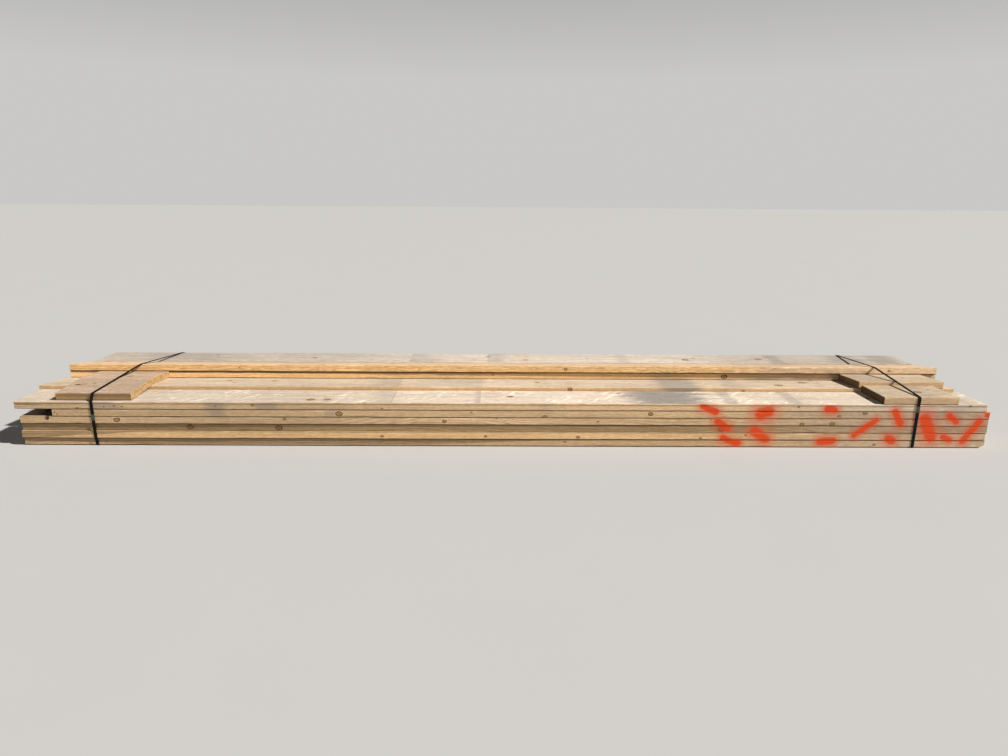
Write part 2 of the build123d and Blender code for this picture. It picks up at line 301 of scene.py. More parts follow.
class Tree:
    """The nodes of one material or world."""

    def __init__(self, owner):
        owner.use_nodes = True
        self.owner = owner
        self.nodes = owner.node_tree.nodes
        self.links = owner.node_tree.links
        self.nodes.clear()

    def add(self, kind, settings=None, values=None, output=0):
        """Adds a node, sets it, then feeds its sockets, and gives the output asked for if it has any."""
        node = self.nodes.new(kind)
        for key, value in (settings or {}).items():
            setattr(node, key, value)
        for key, value in (values or {}).items():
            if isinstance(value, Socket):
                self.links.new(value.socket, node.inputs[key])
            else:
                node.inputs[key].default_value = value
        return Socket(self, node.outputs[output]) if node.outputs else None

    def parts(self, vector):
        """The three numbers of a vector."""
        whole = self.add("ShaderNodeSeparateXYZ", values={"Vector": vector})
        return [Socket(self, output) for output in whole.socket.node.outputs]

    def vector(self, operation, *values, output=0):
        """A Vector Math node."""
        return self.add("ShaderNodeVectorMath", {"operation": operation}, dict(enumerate(values)), output)

    def moved(self, vector, scale, shift=(0, 0, 0)):
        """A vector times a scale plus a shift, number by number."""
        return self.vector("MULTIPLY_ADD", vector, scale, shift)

    def length(self, vector):
        return self.vector("LENGTH", vector, output="Value")

    def framed(self, vector, location, rotation, scale):
        """A place as seen from a frame with this location, rotation and scale."""
        values = {"Vector": vector, "Location": location, "Rotation": rotation, "Scale": scale}
        return self.add("ShaderNodeMapping", {"vector_type": "TEXTURE"}, values)

    def noise(self, vector, size, shift=0.0, detail=2.0, roughness=0.5):
        """Noise whose features have this size along each axis of the vector."""
        scale = tuple(1.0 / part for part in size)
        place = self.moved(vector, scale, (shift, shift * 0.7, -shift))
        values = {"Vector": place, "Scale": 1.0, "Detail": detail, "Roughness": roughness}
        return self.add("ShaderNodeTexNoise", values=values)

    def mix(self, factor, first, second):
        """The second colour over the first."""
        return self.add("ShaderNodeMix", {"data_type": "RGBA"}, {0: factor, 6: first, 7: second}, output=2)

    def finish(self, colour, roughness, height, distance, metallic=None, specular=0.5):
        """The surface and the material's output."""
        bump = self.add("ShaderNodeBump", values={"Height": height, "Distance": distance, "Strength": 1.0})
        values = {
            "Base Color": colour, "Roughness": roughness, "Normal": bump, "Specular IOR Level": specular,
        }
        if metallic is not None:
            values["Metallic"] = metallic
        surface = self.add("ShaderNodeBsdfPrincipled", values=values)
        self.add("ShaderNodeOutputMaterial", values={"Surface": surface})
        return self.owner


def rgba(colour, factor=(1.0, 1.0, 1.0)):
    """A colour times a tone, with its fourth value."""
    return (*[part * tone for part, tone in zip(colour, factor)], 1.0)


class StackSettings(bpy.types.PropertyGroup):
    """Sizes and colours of the stack's finish."""

    edge_radius: FloatProperty(
        name="Edge radius", description="Radius of a board's eased edges", default=0.003, unit="LENGTH"
    )
    crook: FloatProperty(
        name="Crook", description="How far a face wanders inwards", default=0.0009, unit="LENGTH"
    )
    wear: FloatProperty(
        name="Edge wear", description="Leg of the deepest nicks on the edges", default=0.0045, unit="LENGTH"
    )
    ring_width: FloatProperty(
        name="Ring width", description="Distance between growth rings", default=0.0042, unit="LENGTH"
    )
    early_wood: FloatVectorProperty(
        name="Early wood", description="Colour of the soft part of a ring",
        subtype="COLOR", default=(0.76, 0.55, 0.34),
    )
    late_wood: FloatVectorProperty(
        name="Late wood", description="Colour of the hard part of a ring",
        subtype="COLOR", default=(0.50, 0.30, 0.135),
    )
    bleached: FloatVectorProperty(
        name="Bleached wood", description="Colour of the weathered upper faces",
        subtype="COLOR", default=(0.71, 0.61, 0.515),
    )
    blue_stain: FloatVectorProperty(
        name="Stain", description="Colour of the grey stains", subtype="COLOR", default=(0.225, 0.205, 0.19)
    )
    knot: FloatVectorProperty(
        name="Knot", description="Colour of the knots", subtype="COLOR", default=(0.15, 0.070, 0.030)
    )
    spray: FloatVectorProperty(
        name="Spray", description="Colour of the sprayed marks", subtype="COLOR", default=(0.76, 0.066, 0.005)
    )
    strap: FloatVectorProperty(
        name="Strap", description="Colour of the straps", subtype="COLOR", default=(0.006, 0.006, 0.006)
    )
    seal: FloatVectorProperty(
        name="Seal", description="Colour of the seals", subtype="COLOR", default=(0.05, 0.056, 0.046)
    )
    floor: FloatVectorProperty(
        name="Floor", description="Colour of the floor", subtype="COLOR", default=(0.53, 0.525, 0.515)
    )
    key_light: FloatProperty(name="Key light", description="Strength of the key light", default=5.2)
    fill_light: FloatProperty(name="Fill light", description="Strength of the light all round", default=0.94)


def board_axes(node):
    """Unit vectors along, across and up a board, and its lowest and highest places on them in metres.

    Up is the normal of its widest upward triangles and the front's normal that of the widest forward ones.
    Along is the front's normal crossed with up turned round, and across is up crossed with along.
    """
    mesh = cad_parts[node].data
    points = np.empty(len(mesh.vertices) * 3)
    mesh.vertices.foreach_get("co", points)
    points = points.reshape(-1, 3)
    mesh.calc_loop_triangles()
    corners = np.empty(len(mesh.loop_triangles) * 3, dtype=np.int64)
    mesh.loop_triangles.foreach_get("vertices", corners)
    first, second, third = points[corners.reshape(-1, 3)].transpose(1, 0, 2)
    normals = np.cross(second - first, third - first)
    sizes = np.linalg.norm(normals, axis=1)
    units = normals / np.maximum(sizes, 1e-12)[:, None]
    up = units[np.argmax(sizes * (units[:, 2] > FACING))]
    front = units[np.argmax(sizes * (units[:, 1] < -FACING))]
    along = np.cross(up, front)
    along /= np.linalg.norm(along)
    axes = np.array([along, np.cross(up, along), up])
    local = points @ axes.T
    return axes, local.min(axis=0), local.max(axis=0)


def wander(x, rng, amount):
    """A smooth random line between 0 and the amount.

    Sine waves 3.1 m to 0.25 m long are added up, each lower than the last.
    """
    total = np.zeros_like(x)
    weights = 0.0
    for wave, weight in ((3100.0, 1.0), (1300.0, 0.7), (560.0, 0.35), (250.0, 0.15)):
        total += weight * np.sin(2 * pi * x / wave + rng.uniform(0, 2 * pi))
        weights += weight
    return amount * (0.5 + 0.5 * total / weights)


def side_stops(size, radius, splits, reach, between):
    """Points along one side of a section at each station: their distance along the side and their depth.

    The rounded edges have a point at 45, 22.5 and 0 degrees. A split is three points, its two lips and its
    root: the lips' distance and the root's depth shrink in proportion to the distance from the board's end.
    The rest is divided evenly.
    """
    turn = np.radians([45.0, 22.5, 0.0])
    ones = np.ones(len(reach[0]))
    places = [ones * (radius - radius * sin(angle)) for angle in turn]
    depths = [ones * (radius - radius * cos(angle)) for angle in turn]
    places += [ones * (radius + 3.0), ones * (radius + 8.0)]
    depths += [0 * ones, 0 * ones]
    end = size - radius - 8.0

    def fill(target):
        start = places[-1]
        for step in range(1, between + 1):
            places.append(start + (target - start) * step / (between + 1))
            depths.append(0 * ones)

    for side, height, slope, length, width, depth in sorted(splits, key=lambda split: split[1]):
        openness = np.clip(1 - reach[side] / length, 0, 1)
        middle = height + slope * np.minimum(reach[side], length)
        lip = 0.01 + width / 2 * openness
        fill(middle - lip)
        places.extend([middle - lip, middle, middle + lip])
        depths.extend([0 * ones, depth * openness, 0 * ones])
    fill(end * ones)
    places += [end * ones, (end + 5.0) * ones]
    depths += [0 * ones, 0 * ones]
    places += [ones * (size - radius + radius * sin(angle)) for angle in turn[::-1]]
    depths += [ones * (radius - radius * cos(angle)) for angle in turn[::-1]]
    return np.array(places).T, np.array(depths).T


def stations(length, step, extra=()):
    """Places along a board: close together near its ends, evenly spread between them."""
    near = np.array([0.0, 1.2, 4.0, 9.0, 16.0, 25.0, 37.0, 52.0, 70.0, 92.0, 118.0, 150.0])
    near = near[near < length * 0.4]
    middle = np.linspace(near[-1], length - near[-1], max(3, int(length / step)))[1:-1]
    return np.unique(np.round(np.concatenate([near, middle, length - near, np.array(extra, float)]), 3))


def plank(name, node, settings, rng, axes, low, high):
    """A board: a rounded section carried along the board, closed by a grid at each end.

    Each face wanders inwards along the board and the section shrinks by 1 mm at the ends. Near a worn edge,
    a point whose two distances from the corner add up to less than the wear is moved in along both.
    """
    splits, top_splits, extra, damage = BOARD_DAMAGE.get(node, ((), (), (), None))
    length, width, thickness = (high - low) * 1000
    radius = settings.edge_radius * 1000
    x = stations(length, 160.0 if node in COVERED else 34.0, extra)
    reach = (x, length - x)
    front_place, front_depth = side_stops(thickness, radius, splits, reach, 2)
    top_place, top_depth = side_stops(width, radius, top_splits, reach, 5)
    rows = front_place.shape[1] - 1
    columns = top_place.shape[1] - 1
    across = [front_depth, top_place[:, 1:], width - whole(front_depth)[:, -2::-1], top_place[:, -2:0:-1]]
    height = [front_place, thickness - top_depth[:, 1:], front_place[:, -2::-1], whole(top_depth)[:, -2:0:-1]]
    across = np.concatenate(across, axis=1)
    height = np.concatenate(height, axis=1)
    crook = settings.crook * 1000
    sides = [wander(x, rng, crook)[:, None] for _ in range(4)]
    across = sides[0] + across / width * (width - sides[0] - sides[1])
    height = sides[2] * 0.5 + height / thickness * (thickness - 0.5 * sides[2] - 0.5 * sides[3])
    for from_back in (False, True):
        for from_top in (False, True):
            leg = edge_wear(x, length, rng, settings.wear * 1000)[:, None]
            over = width - across if from_back else across
            down = thickness - height if from_top else height
            move = np.maximum(0, leg - over - down) / 2
            across = across + (-move if from_back else move)
            height = height + (-move if from_top else move)
    shrink = np.where((x < 0.5) | (x > length - 0.5), 1.0, 0.0)[:, None]
    across = width / 2 + (across - width / 2) * (1 - 2 * shrink / width)
    height = thickness / 2 + (height - thickness / 2) * (1 - 2 * shrink / thickness)
    along = np.repeat(x[:, None], across.shape[1], axis=1)
    if damage is not None:
        along, across, height = damage(along, across, height, length)
    points = np.stack([along, across, height], axis=2)
    loop = points.shape[1]
    index = np.arange(points.shape[0] * loop).reshape(-1, loop)
    near, far = index[:-1], index[1:]
    faces = np.stack([near, far, np.roll(far, -1, axis=1), np.roll(near, -1, axis=1)], axis=2).reshape(-1, 4)
    all_points = [points.reshape(-1, 3)]
    all_faces = [faces]
    total = index.size
    for station, flip in ((0, False), (-1, True)):
        inner = end_grid(points[station], rows, columns, rng)
        numbers = np.empty((columns + 1, rows + 1), dtype=np.int64)
        ring = index[station]
        numbers[0, :] = ring[: rows + 1]
        numbers[:, -1] = ring[rows : rows + columns + 1]
        numbers[-1, :] = ring[rows + columns : 2 * rows + columns + 1][::-1]
        numbers[:, 0] = np.concatenate([ring[2 * rows + columns :], ring[:1]])[::-1]
        numbers[1:-1, 1:-1] = total + np.arange(inner.shape[0]).reshape(columns - 1, rows - 1)
        total += inner.shape[0]
        cells = [numbers[:-1, :-1], numbers[:-1, 1:], numbers[1:, 1:], numbers[1:, :-1]]
        cap = np.stack(cells[::-1] if flip else cells, axis=2).reshape(-1, 4)
        all_points.append(inner)
        all_faces.append(cap)
    local = np.concatenate(all_points)
    world = (local * 0.001 + low) @ axes
    return place_mesh(name, node, world, np.concatenate(all_faces))


def whole(depth):
    """The depths of a side without its splits."""
    plain = depth.copy()
    plain[:, 3:-3] = 0.0
    return plain


def edge_wear(x, length, rng, deepest):
    """Leg of the wear along one edge: a faint unevenness, and a few nicks, each a narrow smooth bell."""
    leg = 1.7 + wander(x * 3.7, rng, 1.2)
    for _ in range(int(length / 700) + 1):
        middle = rng.uniform(0, length)
        leg += rng.uniform(0.2, 1.0) * deepest * np.exp(-((x - middle) / rng.uniform(18, 70)) ** 2)
    return leg


def end_grid(ring, rows, columns, rng):
    """The inner points of a board's end, row by row.

    They lie where straight lines between facing points of the section cross, a little uneven.
    """
    front = ring[: rows + 1]
    top = ring[rows : rows + columns + 1]
    back = ring[rows + columns : 2 * rows + columns + 1][::-1]
    bottom = np.concatenate([ring[2 * rows + columns :], ring[:1]])[::-1]
    share = ((top[:, 1] - top[0, 1]) / (top[-1, 1] - top[0, 1]))[1:-1, None]
    rise = ((back[:, 2] - back[0, 2]) / (back[-1, 2] - back[0, 2]))[None, 1:-1]
    across = front[None, 1:-1, 1] + share * (back - front)[None, 1:-1, 1]
    height = bottom[1:-1, None, 2] + rise * (top - bottom)[1:-1, None, 2]
    inward = 1.0 if ring[0, 0] < 1.0 else -1.0
    along = ring[0, 0] + inward * rng.uniform(0, 0.3, across.shape)
    return np.stack([along, across, height], axis=2).reshape(-1, 3)


def place_mesh(name, node, points, faces):
    """Puts points and faces into a new object that stands for a node of the frame."""
    mesh = bpy.data.meshes.new(name)
    mesh.from_pydata(points.tolist(), [], faces.tolist())
    mesh.polygons.foreach_set("use_smooth", np.ones(len(faces), dtype=bool))
    mesh.set_sharp_from_angle(angle=radians(SHARP_ANGLE))
    piece = bpy.data.objects.new(name, mesh)
    bpy.context.scene.collection.objects.link(piece)
    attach(piece, "root")
    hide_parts(node)
    return piece


def nearest(tree, place, spots):
    """Distance to the nearest spot in units of its half sizes: each spot is a centre and three half sizes."""
    near = None
    for centre, half in spots:
        scale = tuple(1.0 / part for part in half)
        shift = tuple(-part * factor for part, factor in zip(centre, scale))
        distance = tree.length(tree.moved(place, scale, shift))
        near = distance if near is None else near.least(distance)
    return near


def side_knot(along, across, height, radius):
    """A knot on a board's front or back face, as a centre and three half sizes."""
    return (along, across, height), (radius * 1.25, SIDE_KNOT_DEPTH, radius * 0.9)


def knots_of(node, left, length, rng):
    """The knots of a board: those seen on its front, and some drawn at random for its other faces."""
    spots = [side_knot(at - left, 0.0, height, radius) for at, height, radius in FRONT_KNOTS.get(node, [])]
    for _ in range(max(1, int(length / 620))):
        radius = rng.uniform(5, 17)
        centre = (rng.uniform(KNOT_MARGIN, length - KNOT_MARGIN), rng.uniform(20, WIDTH - 20), MARK_LEVEL)
        spots.append((centre, (radius * 1.25, radius, TOP_KNOT_DEPTH)))
    if node.startswith("back_row"):
        for _ in range(7):
            radius = rng.uniform(4, 15)
            along = rng.uniform(KNOT_MARGIN, length - KNOT_MARGIN)
            spots.append(side_knot(along, WIDTH, rng.uniform(8, 30), radius))
    return spots


def stained(stack_x, stains, ragged):
    """Cover of stains that run across a board: it fades, raggedly, with the distance from each middle."""
    cover = None
    for middle, half, strength in stains:
        one = (1 - (abs(stack_x - middle) * (1.0 / half) + ragged).ramp(0.45, 1.25)) * strength
        cover = one if cover is None else cover.most(one)
    return cover


class BoardWood:
    """The wood of one board, in the board's own millimetres. Each layer goes over the ones before it."""

    def __init__(self, settings, name, node, rng, axes, low):
        corner = low @ axes
        self.settings = settings
        self.node = node
        self.left, self.front = corner[0] * 1000, corner[1] * 1000
        self.tree = Tree(bpy.data.materials.new(name))
        self.mix = self.tree.mix
        self.world = self.tree.add("ShaderNodeTexCoord", output="Object")
        turn = Matrix(axes.T.tolist()).to_euler()
        self.place = self.tree.framed(self.world, corner.tolist(), turn, (0.001, 0.001, 0.001))
        self.along, _, self.level = self.tree.parts(self.place)
        self.stack_x = self.along + self.left
        facing = self.tree.parts(self.tree.add("ShaderNodeNewGeometry", output="Normal"))
        self.upward = facing[2].ramp(0.55, 0.97)
        self.forward = (0 - facing[1]).ramp(0.5, 0.9)
        self.sprayable = (0 - facing[1]).ramp(0.2, 0.7)
        self.end = abs(facing[0]).ramp(0.5, 0.9)
        plain = rng.uniform(0.90, 1.06) * np.array([1.0, rng.uniform(0.93, 0.98), rng.uniform(0.78, 0.92)])
        tone, self.shades = TONES_AND_SHADE.get(node, (tuple(plain), PLAIN_SHADES))
        self.early_wood, self.late_wood = rgba(settings.early_wood, tone), rgba(settings.late_wood, tone)
        self.seed = rng.uniform(-50, 50)
        self.find_knots(rng)
        self.find_rings(rng)
        self.fibre = self.noise((70, 0.9, 0.9), 7, 2.0, 0.6)
        self.streak = self.noise((700, 13, 9), 11, 3.0, 0.6)
        self.blotch = self.noise((300, 90, 40), 17, 3.0, 0.6)
        self.slow = self.noise((900, 300, 200), 23, 1.0)
        self.speck = self.noise((30, 6, 6), 51, 3.0, 0.7).ramp(0.34, 0.66)
        self.ragged = (self.noise((150, 14, 14), 31, 4.0, 0.7) - 0.5) * 2.2

    def noise(self, size, shift, detail=2.0, roughness=0.5):
        """Noise in the board's own millimetres, its place drawn once for each board."""
        return self.tree.noise(self.place, size, self.seed + shift, detail, roughness)

    def find_knots(self, rng):
        """Distance to the nearest knot in units of its half sizes, and the parts of a knot."""
        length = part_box(self.node)[1].x * 1000 - self.left
        near = nearest(self.tree, self.place, knots_of(self.node, self.left, length, rng))
        self.near = near + (self.noise((7, 7, 7), 0) - 0.5) * 0.8
        self.body = 1 - self.near.ramp(0.85, 1.05)
        self.core = 1 - self.near.ramp(0.16, 0.50)
        self.bark = self.near.ramp(0.62, 0.86) * (1 - self.near.ramp(1.02, 1.22))
        self.pale = self.near.ramp(1.1, 1.3) * (1 - self.near.ramp(1.45, 2.1))
        self.halo = 1 - self.near.ramp(1.0, 2.6)

    def find_rings(self, rng):
        """A ring is the fraction of the distance from the pith over the ring width, bent by noise and by the
        knots. The checks run out from the pith, where a noise of the angle round it crosses one half.
        """
        tree = self.tree
        pith_side = -1 if rng.random() < 0.5 else 1
        pith = (rng.uniform(40, 195), MIDDLE_LEVEL + pith_side * rng.uniform(35, 120))
        bend = self.noise((900, 160, 160), 0, 1.0)
        fine_bend = self.noise((140, 22, 22), 3)
        figure, coarse = (26, 1.8) if self.node == FIGURED else (7, 1.0)
        to_pith = (0, -pith[0], -pith[1])
        radial = tree.length(tree.moved(self.place, (0.006 * rng.uniform(-1, 1), 1, 1), to_pith))
        spread = radial + self.along * rng.uniform(-0.012, 0.012) + bend * 60
        spread = spread + fine_bend * figure + self.halo * 7
        rings = spread / (self.settings.ring_width * 1000 * coarse * rng.uniform(0.8, 1.3))
        ring = rings.math("FRACT", rings)
        self.late = ring.ramp(0.3, 0.86) * (1 - ring.ramp(0.93, 1.0))
        _, across, up = tree.parts(tree.moved(self.place, (0, 1, 1), to_pith))
        angle = across.math("ARCTAN2", across, up)
        fan = tree.add("ShaderNodeCombineXYZ", values={0: angle * 22.0, 1: radial * (1 / 45.0), 2: self.seed})
        crossing = abs(tree.noise(fan, (1, 1, 1), self.seed) - 0.5)
        self.checks = (1 - crossing.ramp(0.0, 0.018)) * self.end

    def material(self):
        """All the layers, one over the other, on the surface."""
        wood = self.shade(self.weathered(self.sawn()))
        for layer in (self.grey, self.joints, self.end_grain, self.knots, self.nicks, self.spray):
            wood = layer(wood)
        height = self.fibre * 0.35 + self.late * 0.3 - self.checks * 3.0 - self.bark * 0.6 + self.streak * 0.3
        rough = 0.72 + self.fibre * 0.12 - self.body * 0.15
        return self.tree.finish(wood, rough, height, 0.0006, specular=0.25)

    def sawn(self):
        """Sawn wood: late wood in the rings, and in fibres, streaks, blotches and round the knots."""
        contrast = 1.5 if self.node == FIGURED else 1.1
        rings = (self.late * (0.30 + self.streak * 0.65) * contrast).least(1)
        wood = self.early_wood
        for share in (
            rings,
            self.fibre.ramp(0.35, 0.75) * 0.24,
            self.streak.ramp(0.48, 0.8) * 0.40,
            self.blotch.ramp(0.50, 0.75) * 0.26,
            self.halo * 0.40,
        ):
            wood = self.mix(share, wood, self.late_wood)
        # The third front board's knots get no pale rim, to go with its painted shade
        rim = 0.0 if self.node == "front_row_board_3" else 0.45
        return self.mix(self.pale * rim, wood, rgba(self.settings.early_wood, (1.08, 1.04, 0.95)))

    def weathered(self, wood):
        """Weathering of upper faces, and of fronts to the right: streaks, whitish flakes and dark ones."""
        tree, node = self.tree, self.node
        bleached = rgba(self.settings.bleached, TOP_TONES.get(node, (0.92, 0.80, 0.66)))
        tan = rgba(self.settings.late_wood, (0.96, 1.10, 1.50))
        top = self.mix(self.late * 0.30 + self.streak.ramp(0.42, 0.70) * 0.50, bleached, tan)
        fleck = self.noise((64, 24, 24), 29, 3.0, 0.62)
        if node == "front_row_board_6":
            values = {"Vector": self.place, "Rotation": (0, 0, radians(-48))}
            slant = tree.add("ShaderNodeMapping", values=values)
            flame = tree.noise(slant, (105, 19, 30), self.seed + 61, 2.0, 0.6).ramp(0.55, 0.63)
            patch = self.noise((200, 120, 60), 67, 1.0).ramp(0.47, 0.60) * self.upward
            top = self.mix(flame * patch * 0.9, top, CREAM_FLAME)
        else:
            top = self.mix(fleck.ramp(0.57, 0.66) * 0.40, top, WHITISH_FLAKE)
        dull = self.noise((170, 34, 34), 41, 4.0, 0.72).ramp(0.50, 0.72)
        top = self.mix(dull * (0.75 if node in OFFCUTS else 0.5), top, DULL_PATCH)
        top = self.mix((1 - fleck.ramp(0.31, 0.38)) * 0.55, top, DARK_FLECK)
        top = self.mix(self.halo * 0.35, top, self.late_wood)
        weather = 0.35 if node not in TOP_TONES else 0.6 if node == FIGURED else 0.9
        aging = 0.62 if node.startswith(("front_row", "third_row")) else 0.2
        aged = self.forward * self.stack_x.ramp(1000, 2000) * aging
        return self.mix((self.upward * weather).most(aged), wood, top)

    def shade(self, wood):
        """Slow changes of shade along the board, and finer ones that keep the surface lively."""
        left, middle, right = self.shades
        shade = left + self.stack_x.ramp(-1250, -150) * (middle - left)
        shade = shade + self.stack_x.ramp(900, 1750) * (right - middle)
        cloud = self.noise((130, 24, 14), 37, 4.0, 0.7)
        fine = 0.58 + self.blotch * 0.28 + cloud * 0.34 + self.speck * 0.22
        shade = shade * (0.80 + self.slow * 0.40) * fine
        return self.tree.add("ShaderNodeVectorMath", {"operation": "SCALE"}, {0: wood, "Scale": shade})

    def grey(self, wood):
        """Grey: a light bloom in patches, the stains, and what spacers left across the upper faces."""
        grey = self.blotch.ramp(0.45, 0.72) * (0.09 + self.upward * 0.13)
        faces = (self.upward, self.forward)
        for stains, face in zip(STAINS.get(self.node, ([], [])), faces):
            cover = stained(self.stack_x, stains, self.ragged)
            if cover is not None:
                grey = grey.most(cover * face * (0.34 + self.speck * 0.36 + self.streak * 0.60))
        for faded, crisp, strength in SPACER_MARKS.get(self.node, ()):
            share = (self.stack_x - faded) * (1.0 / (crisp - faded)) + self.ragged * 0.05
            inside = share.ramp(0.0, 0.8) * (1 - share.ramp(0.98, 1.06))
            grey = grey.most(inside * self.upward * (strength * (0.6 + self.fibre * 0.7)))
        return self.mix(grey.least(0.9), wood, rgba(self.settings.blue_stain))

    def joints(self, wood):
        """Painted shade on the upper part of some faces, and joints darkened by dirt and painted shade."""
        if self.node in SHADED:
            strength, line = SHADED[self.node]
            begin = line[0][1]
            for (at, before), (to, after) in zip(line, line[1:]):
                begin = begin + self.stack_x.ramp(at, to) * (after - before)
            shaded = (self.level - begin + self.ragged * 0.6).ramp(-2.5, 2.5) * self.forward
            wood = self.mix(shaded * strength, wood, SHADED_WOOD)
        # The joint darkening is partly dirt and partly painted shade in the grooves between boards
        gap = self.level if self.node in TOP_TONES else self.level.least(THICKNESS - self.level)
        joint = (1 - (gap + self.ragged * 0.5).ramp(1.0, 4.2)) * (1 - self.upward) * (1 - self.end * 0.6)
        return self.mix(joint * 0.95, wood, JOINT_DIRT_AND_SHADE)

    def end_grain(self, wood):
        """Darker ends, with the offcuts' own tones and painted shade on the right ones, and checks."""
        settings = self.settings
        wood = self.mix(self.end * (0.14 + self.late * 0.34), wood, self.late_wood)
        if self.node in END_TONES_AND_SHADE:
            tone = END_TONES_AND_SHADE[self.node]
            early_wood, late_wood = rgba(settings.early_wood, tone), rgba(settings.late_wood, tone)
            wood = self.mix(self.end, wood, self.mix(self.late * 0.35, early_wood, late_wood))
        return self.mix(self.checks * 0.8, wood, END_CHECK)

    def knots(self, wood):
        """Knots with rings of their own, a dark core and dark bark round them."""
        settings = self.settings
        wave = self.near.math("SINE", self.near * 21.0)
        # The third front board's knots are darker, to go with its painted shade
        light = (0.45, 0.40, 0.35) if self.node == "front_row_board_3" else (0.86, 0.74, 0.64)
        dim = tuple(0.78 * part for part in light)
        knot = self.mix(0.5 + wave * 0.3, rgba(settings.late_wood, light), rgba(settings.early_wood, dim))
        knot = self.mix(self.core * 0.85, knot, rgba(settings.knot))
        wood = self.mix(self.body * 0.92, wood, knot)
        return self.mix(self.bark * 0.85, wood, rgba(settings.knot, (0.50, 0.50, 0.50)))

    def nicks(self, wood):
        """Dark nicks and dirt on the upper and the front face, and one painted shadow."""
        spots = [
            ((at - self.left, over - self.front, MARK_LEVEL), (half, wide, NICK_DEPTH))
            for at, over, half, wide in NICKS_AND_SHADOW.get(self.node, ())
        ]
        spots += [
            ((at - self.left, 0.0, rise), (half, NICK_DEPTH, tall))
            for at, rise, half, tall in FRONT_NICKS.get(self.node, ())
        ]
        if not spots:
            return wood
        # Besides nicks and dirt, this cover darkens the painted shadow on the fourth front board's top
        dirt = 1 - (nearest(self.tree, self.place, spots) + self.ragged * 0.4).ramp(0.75, 1.15)
        return self.mix(dirt * 0.88, wood, NICK_DIRT_AND_SHADOW)

    def spray(self, wood):
        """Soft sprayed strokes on the front row: points within a half width of a short line."""
        if not self.node.startswith("front_row"):
            return wood
        tree, colour = self.tree, self.settings.spray
        low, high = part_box(self.node)
        inside = None
        for at, height, half_length, half_width, turn in MARKS:
            reach = half_length * abs(sin(radians(turn))) + half_width * 1.4
            if height + reach < low.z * 1000 or height - reach > high.z * 1000:
                continue
            middle, scale = (at / 1000, 0, height / 1000), (half_width / 1000, 1000, half_width / 1000)
            place = tree.framed(self.world, middle, (0, -radians(turn), 0), scale)
            apart = tree.moved(tree.vector("ABSOLUTE", place), (1, 0, 1), (-half_length / half_width, 0, 0))
            distance = tree.length(tree.vector("MAXIMUM", apart, (0, 0, 0)))
            inside = distance if inside is None else inside.least(distance)
        if inside is None:
            return wood
        drift = tree.noise(self.world, (0.05, 0.05, 0.03), 4.0, 3.0, 0.6)
        speckle = tree.noise(self.world, (0.003, 0.003, 0.003), 9.0, 1.0)
        edge = inside + (drift - 0.5) * 0.7 + (speckle - 0.5) * 0.35
        mist = (1 - edge.ramp(0.9, 2.3)) * 0.42
        cover = (1 - edge.ramp(0.35, 1.4)).most(mist) * self.sprayable
        paint = self.mix((1 - edge.ramp(0.1, 0.9)) * 0.7, rgba(colour), rgba(colour, (1.1, 1.05, 0.9)))
        return self.mix(cover * 0.97, wood, paint)


def strap_finish(settings):
    """Black strapping: fine ribs along it, scuffs that are paler and rougher."""
    tree = Tree(bpy.data.materials.new("strap_band"))
    place = tree.moved(tree.add("ShaderNodeTexCoord", output="Object"), (1000, 1000, 1000))
    across = tree.parts(place)[0]
    scuff = tree.noise(place, (3, 40, 40), 2.0, 4.0, 0.65)
    dust = tree.noise(place, (60, 60, 60), 5.0, 2.0)
    ribs = across.math("SINE", across * (2 * pi / 1.3))
    worn = scuff.ramp(0.5, 0.75) * 0.5 + dust.ramp(0.5, 0.8) * 0.15
    colour = tree.mix(worn, rgba(settings.strap), SCUFFED_STRAP)
    rough = 0.58 + scuff.ramp(0.4, 0.8) * 0.30
    return tree.finish(colour, rough, ribs * 0.5 + scuff * 0.4, 0.0003, specular=0.10)


def seal_finish(settings):
    """Painted steel: the paint is worn through to grey metal along scratches."""
    tree = Tree(bpy.data.materials.new("seal_steel"))
    place = tree.moved(tree.add("ShaderNodeTexCoord", output="Object"), (1000, 1000, 1000))
    wear = tree.noise(place, (2.5, 2.5, 14), 1.0, 4.0, 0.7)
    patch = tree.noise(place, (11, 11, 11), 3.0, 2.0)
    bare = (wear * 0.7 + patch * 0.3).ramp(0.5, 0.64)
    colour = tree.mix(bare, rgba(settings.seal), BARE_STEEL)
    rough = 0.42 - bare * 0.08 + wear * 0.15
    return tree.finish(colour, rough, wear * 0.6 - bare * 0.3, 0.0002, metallic=bare * 0.9)


def slanted(node, name, shifts, finish):
    """A strap or its seal, drawn a little to one side as the real one lies.

    Each point of the node's merged mesh moves along the stack by a length read off straight lines between the
    three shifts in mm: at the front of the stack, at its middle and at its back.
    """
    form = bmesh.new()
    form.from_mesh(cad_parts[node].data)
    bmesh.ops.remove_doubles(form, verts=form.verts, dist=1e-6)
    mesh = bpy.data.meshes.new(name)
    form.to_mesh(mesh)
    form.free()
    points = np.empty(len(mesh.vertices) * 3)
    mesh.vertices.foreach_get("co", points)
    points = points.reshape(-1, 3)
    low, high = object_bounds()
    points[:, 0] += np.interp(points[:, 1], [low.y, 0.0, high.y], np.array(shifts) / 1000)
    mesh.vertices.foreach_set("co", points.ravel())
    mesh.update()
    mesh.materials.clear()
    mesh.materials.append(finish)
    piece = bpy.data.objects.new(name, mesh)
    bpy.context.scene.collection.objects.link(piece)
    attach(piece, "root")
    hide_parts(node)


def build_board(settings, node, name):
    """One board with its own wood."""
    rng = np.random.default_rng(sum(ord(letter) * (place + 3) for place, letter in enumerate(node)))
    axes, low, high = board_axes(node)
    piece = plank(name, node, settings, rng, axes, low, high)
    piece.data.materials.append(BoardWood(settings, f"{name}_wood", node, rng, axes, low).material())


